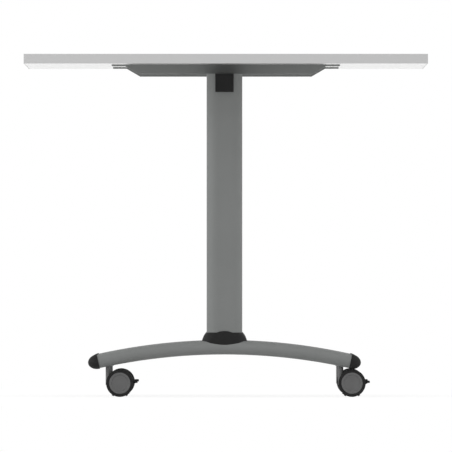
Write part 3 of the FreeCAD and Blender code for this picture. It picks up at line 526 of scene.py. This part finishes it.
class MEETING_OT_frame(bpy.types.Operator):
    """Finish the powder-coated steel and weld the stretcher to the columns"""
    bl_idname = "meeting_table.frame"
    bl_label = "Steel frame"

    def execute(self, context):
        tones = context.scene.meeting_table_colours
        sizes = context.scene.meeting_table_sizes
        grey = powder_coat("grey_powder_coat", tones.frame_coat, roughness=0.52)
        coat(grey, "stretcher", "castor_sockets", *both_sides("column", "foot", "tilt_rail"))
        low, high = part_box("stretcher")
        column_low, column_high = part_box("column_left")
        round_radius = (column_high.y - column_low.y) / 2
        flat_half = (column_high.x - column_low.x) / 2 - round_radius
        bead_width = 2 * sizes.bead
        tree = bead_tree()
        for side in SIDES:
            leg = middle(f"column_{side}")
            inward = -math.copysign(1, leg.y)
            points = []
            for x, z in rounded_rectangle(low, high, radius=bead_width):
                past_flat = max(0, abs(x - leg.x) - flat_half)
                face = leg.y + inward * math.sqrt(round_radius ** 2 - past_flat ** 2)
                points.append((x, face, z))
            edges = [(spot, (spot + 1) % len(points)) for spot in range(len(points))]
            weld = made_by(tree, f"stretcher_weld_{side}", points, edges,
                           {"Bead": sizes.bead, "Ripple": sizes.ripple, "Material": grey})
            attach(weld, "frame")
        return {"FINISHED"}


class MEETING_OT_mouldings(bpy.types.Operator):
    """Finish the black mouldings of the legs and rib the lock levers"""
    bl_idname = "meeting_table.mouldings"
    bl_label = "Black mouldings"

    def execute(self, context):
        tones = context.scene.meeting_table_colours
        sizes = context.scene.meeting_table_sizes
        black = moulded_plastic("black_polypropylene", tones.black, grain_mm=0.9, roughness=0.58, shine=0.2)
        coat(black, *both_sides("boot", "foot_caps", "pivot_housing", "lock_lever"))
        tree = rib_tree()
        for side in SIDES:
            low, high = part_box(f"lock_lever_{side}")
            centre = (low + high) / 2
            points = []
            for face in (-1, 1):
                for row in range(sizes.grip_ribs):
                    z = low.z + sizes.grip_start + row * sizes.grip_rib_pitch
                    y = centre.y + face * sizes.grip_thick / 2
                    points += [(centre.x + end * sizes.grip_rib_long / 2, y, z) for end in (-1, 1)]
            ribs = made_by(tree, f"lock_lever_{side}_ribs", points, paired(points),
                           {"Rib": sizes.grip_rib, "Sides": GRIP_RIB_SIDES, "Material": black})
            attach(ribs, f"lock_lever_{side}")
        return {"FINISHED"}


class MEETING_OT_castors(bpy.types.Operator):
    """Finish the castors and rib their brake pedals"""
    bl_idname = "meeting_table.castors"
    bl_label = "Castors"

    def execute(self, context):
        tones = context.scene.meeting_table_colours
        sizes = context.scene.meeting_table_sizes
        black = moulded_plastic("black_nylon", tones.black, grain_mm=0.7, roughness=0.55, shine=0.2)
        grey = moulded_plastic("grey_nylon", tones.hub, grain_mm=0.6, roughness=0.5, shine=0.25)
        # The yokes get a darker grey than the frame's, as painted shade under the feet.
        coat(powder_coat("castor_coat_with_painted_shade", tones.castor_coat_with_painted_shade, roughness=0.45), *castor_nodes("yoke"))
        coat(grey, *castor_nodes("hub_a", "hub_b"))
        coat(soft_tread(tones.tyre), *castor_nodes("tyre_a", "tyre_b"))
        coat(black, *castor_nodes("hood", "pedal"))
        rib_width = 2 * sizes.tread_rib
        tree = rib_tree()
        for castor in CASTORS:
            low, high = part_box(f"{castor}_pedal")
            points = []
            for row in range(sizes.tread_ribs):
                x = high.x - sizes.tread_start - row * sizes.tread_rib_pitch
                points += [(x, y, high.z) for y in (low.y + rib_width, high.y - rib_width)]
            ribs = made_by(tree, f"{castor}_pedal_ribs", points, paired(points),
                           {"Rib": sizes.tread_rib, "Sides": TREAD_RIB_SIDES, "Material": black})
            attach(ribs, f"{castor}_pedal")
        return {"FINISHED"}


class MEETING_OT_hardware(bpy.types.Operator):
    """Finish the plated hardware and the nylon bushes, and drive the rail screws"""
    bl_idname = "meeting_table.hardware"
    bl_label = "Hardware"

    def execute(self, context):
        tones = context.scene.meeting_table_colours
        sizes = context.scene.meeting_table_sizes
        zinc = zinc_plate(tones.zinc)
        nylon = moulded_plastic("natural_nylon", tones.bush, grain_mm=0.8, roughness=0.45, shine=0.4)
        coat(zinc, "pivot_pins", "foot_bolts", *castor_nodes("axle"))
        coat(nylon, "pivot_bushes", "thrust_washers")
        low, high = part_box("rail_screws")
        head = sizes.screw_head / 2
        spots = []
        for side in SIDES:
            rail = middle(f"tilt_rail_{side}").y
            pitch = high.y - head - abs(rail)
            for x in (low.x + head, high.x - head):
                spots += [(x, rail + sign * pitch, low.z) for sign in (-1, 1)]
        screws = made_by(screw_tree(), "rail_screws_driven", spots, [],
                         {"Head": sizes.screw_head, "Shank": sizes.screw_shank,
                          "Head height": sizes.screw_head_high,
                          "Long": high.z - low.z - sizes.screw_head_high,
                          "Recess length": sizes.recess_long, "Recess width": sizes.recess_wide,
                          "Recess depth": sizes.recess_deep, "Material": zinc})
        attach(screws, "top")
        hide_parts("rail_screws")
        return {"FINISHED"}


def straight_rays(tree):
    """1 for the rays that show the background itself: straight, mirrored or seen through glass."""
    rays = add(tree, "ShaderNodeLightPath").outputs
    mirrored = add(tree, "ShaderNodeMath", {0: rays["Is Camera Ray"], 1: rays["Is Glossy Ray"]},
                   operation="MAXIMUM")
    either = add(tree, "ShaderNodeMath", {0: mirrored.outputs[0], 1: rays["Is Transmission Ray"]},
                 operation="MAXIMUM")
    return either.outputs[0]


def lay_floor(scene, studio):
    """Pale floor that keeps the table's shadow and fades into a white background."""
    half = studio.floor_half
    corners = [(-half, -half, 0), (half, -half, 0), (half, half, 0), (-half, half, 0)]
    sheet = bpy.data.meshes.new("floor")
    sheet.from_pydata(corners, [], [(0, 1, 2, 3)])
    floor = bpy.data.objects.new("floor", sheet)
    scene.collection.objects.link(floor)
    material, tree, where = new_material("pale_floor")
    throw = studio.floor_bounce
    paper = add(tree, "ShaderNodeBsdfDiffuse", {"Color": (throw, throw, throw, 1)})
    chalk = add(tree, "ShaderNodeBsdfDiffuse", {"Color": WHITE})
    white = add(tree, "ShaderNodeEmission", {"Color": WHITE, "Strength": 1.0})
    away = add(tree, "ShaderNodeVectorMath", {0: where}, operation="LENGTH")
    shaded = add(tree, "ShaderNodeMapRange", {"Value": away.outputs["Value"], "From Min": studio.floor_fade,
                                              "From Max": half, "To Min": studio.floor_shade, "To Max": 0.0})
    lifted = add(tree, "ShaderNodeMixShader", {0: shaded.outputs["Result"], 1: white.outputs[0],
                                               2: chalk.outputs[0]})
    seen = add(tree, "ShaderNodeMixShader", {0: straight_rays(tree), 1: paper.outputs[0],
                                             2: lifted.outputs[0]})
    add(tree, "ShaderNodeOutputMaterial", {"Surface": seen.outputs[0]})
    sheet.materials.append(material)


def light_sky(scene, studio):
    """Soft light from all round, graded from below to overhead, in front of a white background."""
    world = bpy.data.worlds.new("studio")
    world.use_nodes = True
    tree = world.node_tree
    tree.nodes.clear()
    towards = add(tree, "ShaderNodeTexCoord").outputs["Generated"]
    parts = add(tree, "ShaderNodeSeparateXYZ", {"Vector": towards})
    graded = add(tree, "ShaderNodeMapRange", {"Value": parts.outputs["Z"], "From Min": -1.0, "From Max": 1.0,
                                              "To Min": studio.sky_low, "To Max": studio.sky_high})
    soft = add(tree, "ShaderNodeBackground", {"Color": WHITE, "Strength": graded.outputs["Result"]})
    white = add(tree, "ShaderNodeBackground", {"Color": WHITE, "Strength": 1.0})
    seen = add(tree, "ShaderNodeMixShader", {0: straight_rays(tree), 1: soft.outputs[0], 2: white.outputs[0]})
    add(tree, "ShaderNodeOutputWorld", {"Surface": seen.outputs[0]})
    scene.world = world


def set_lamps(scene, studio):
    """Soft box on each side of the table, aimed at its middle and hidden from the camera."""
    for name, sign, power in (("left_lamp", -1, studio.left_lamp), ("right_lamp", 1, studio.right_lamp)):
        lamp = bpy.data.lights.new(name, "AREA")
        lamp.energy = power
        lamp.shape = "SQUARE"
        lamp.size = studio.lamp_size
        holder = bpy.data.objects.new(name, lamp)
        holder.location = (sign * studio.lamp_side, -studio.lamp_front, studio.lamp_height)
        aim = (CAD_BOX[0] + CAD_BOX[1]) / 2 - holder.location
        holder.rotation_euler = aim.to_track_quat("-Z", "Y").to_euler()
        holder.visible_camera = False
        scene.collection.objects.link(holder)


def set_camera(scene, studio):
    """Long lens square to the end of the table, tipped up a little to keep the picture centred."""
    camera = bpy.data.cameras.new("camera")
    camera.lens = camera.sensor_width * studio.camera_distance / studio.view_width
    camera.clip_end = 2 * studio.camera_distance
    holder = bpy.data.objects.new("camera", camera)
    away = middle("column_right").y - studio.camera_distance
    holder.location = (studio.view_side, away, studio.camera_height)
    tip = math.atan2(studio.view_height - studio.camera_height, studio.camera_distance)
    holder.rotation_euler = (math.radians(90) + tip, 0, 0)
    scene.collection.objects.link(holder)
    scene.camera = holder


class MEETING_OT_studio(bpy.types.Operator):
    """Lay the pale floor, light the table and set the camera"""
    bl_idname = "meeting_table.studio"
    bl_label = "Studio"

    def execute(self, context):
        scene = context.scene
        studio = scene.meeting_table_studio
        lay_floor(scene, studio)
        light_sky(scene, studio)
        set_lamps(scene, studio)
        set_camera(scene, studio)
        scene.view_settings.view_transform = "Standard"
        return {"FINISHED"}


OPERATORS = (MEETING_OT_table_top, MEETING_OT_frame, MEETING_OT_mouldings, MEETING_OT_castors,
             MEETING_OT_hardware, MEETING_OT_studio)

SETTINGS = {
    "meeting_table_colours": MeetingTableColours,
    "meeting_table_sizes": MeetingTableSizes,
    "meeting_table_studio": MeetingTableStudio,
}


class MEETING_PT_panel(bpy.types.Panel):
    """Steps of the meeting table, in order, and its settings"""
    bl_idname = "MEETING_PT_panel"
    bl_label = "Meeting table"
    bl_space_type = "VIEW_3D"
    bl_region_type = "UI"
    bl_category = "Meeting table"

    def draw(self, context):
        for step in OPERATORS:
            self.layout.operator(step.bl_idname)
        for settings in SETTINGS:
            group = getattr(context.scene, settings)
            for key in group.__annotations__:
                self.layout.prop(group, key)


CLASSES = (*SETTINGS.values(), *OPERATORS, MEETING_PT_panel)


def register():
    """Register the classes and give the scene its settings."""
    for kind in CLASSES:
        bpy.utils.register_class(kind)
    for name, kind in SETTINGS.items():
        setattr(bpy.types.Scene, name, PointerProperty(type=kind))


def unregister():
    """Take the settings and the classes away again."""
    for name in SETTINGS:
        delattr(bpy.types.Scene, name)
    for kind in reversed(CLASSES):
        bpy.utils.unregister_class(kind)


def main():
    register()
    bpy.ops.meeting_table.table_top()
    bpy.ops.meeting_table.frame()
    bpy.ops.meeting_table.mouldings()
    bpy.ops.meeting_table.castors()
    bpy.ops.meeting_table.hardware()
    bpy.ops.meeting_table.studio()


if __name__ == "__main__":
    main()
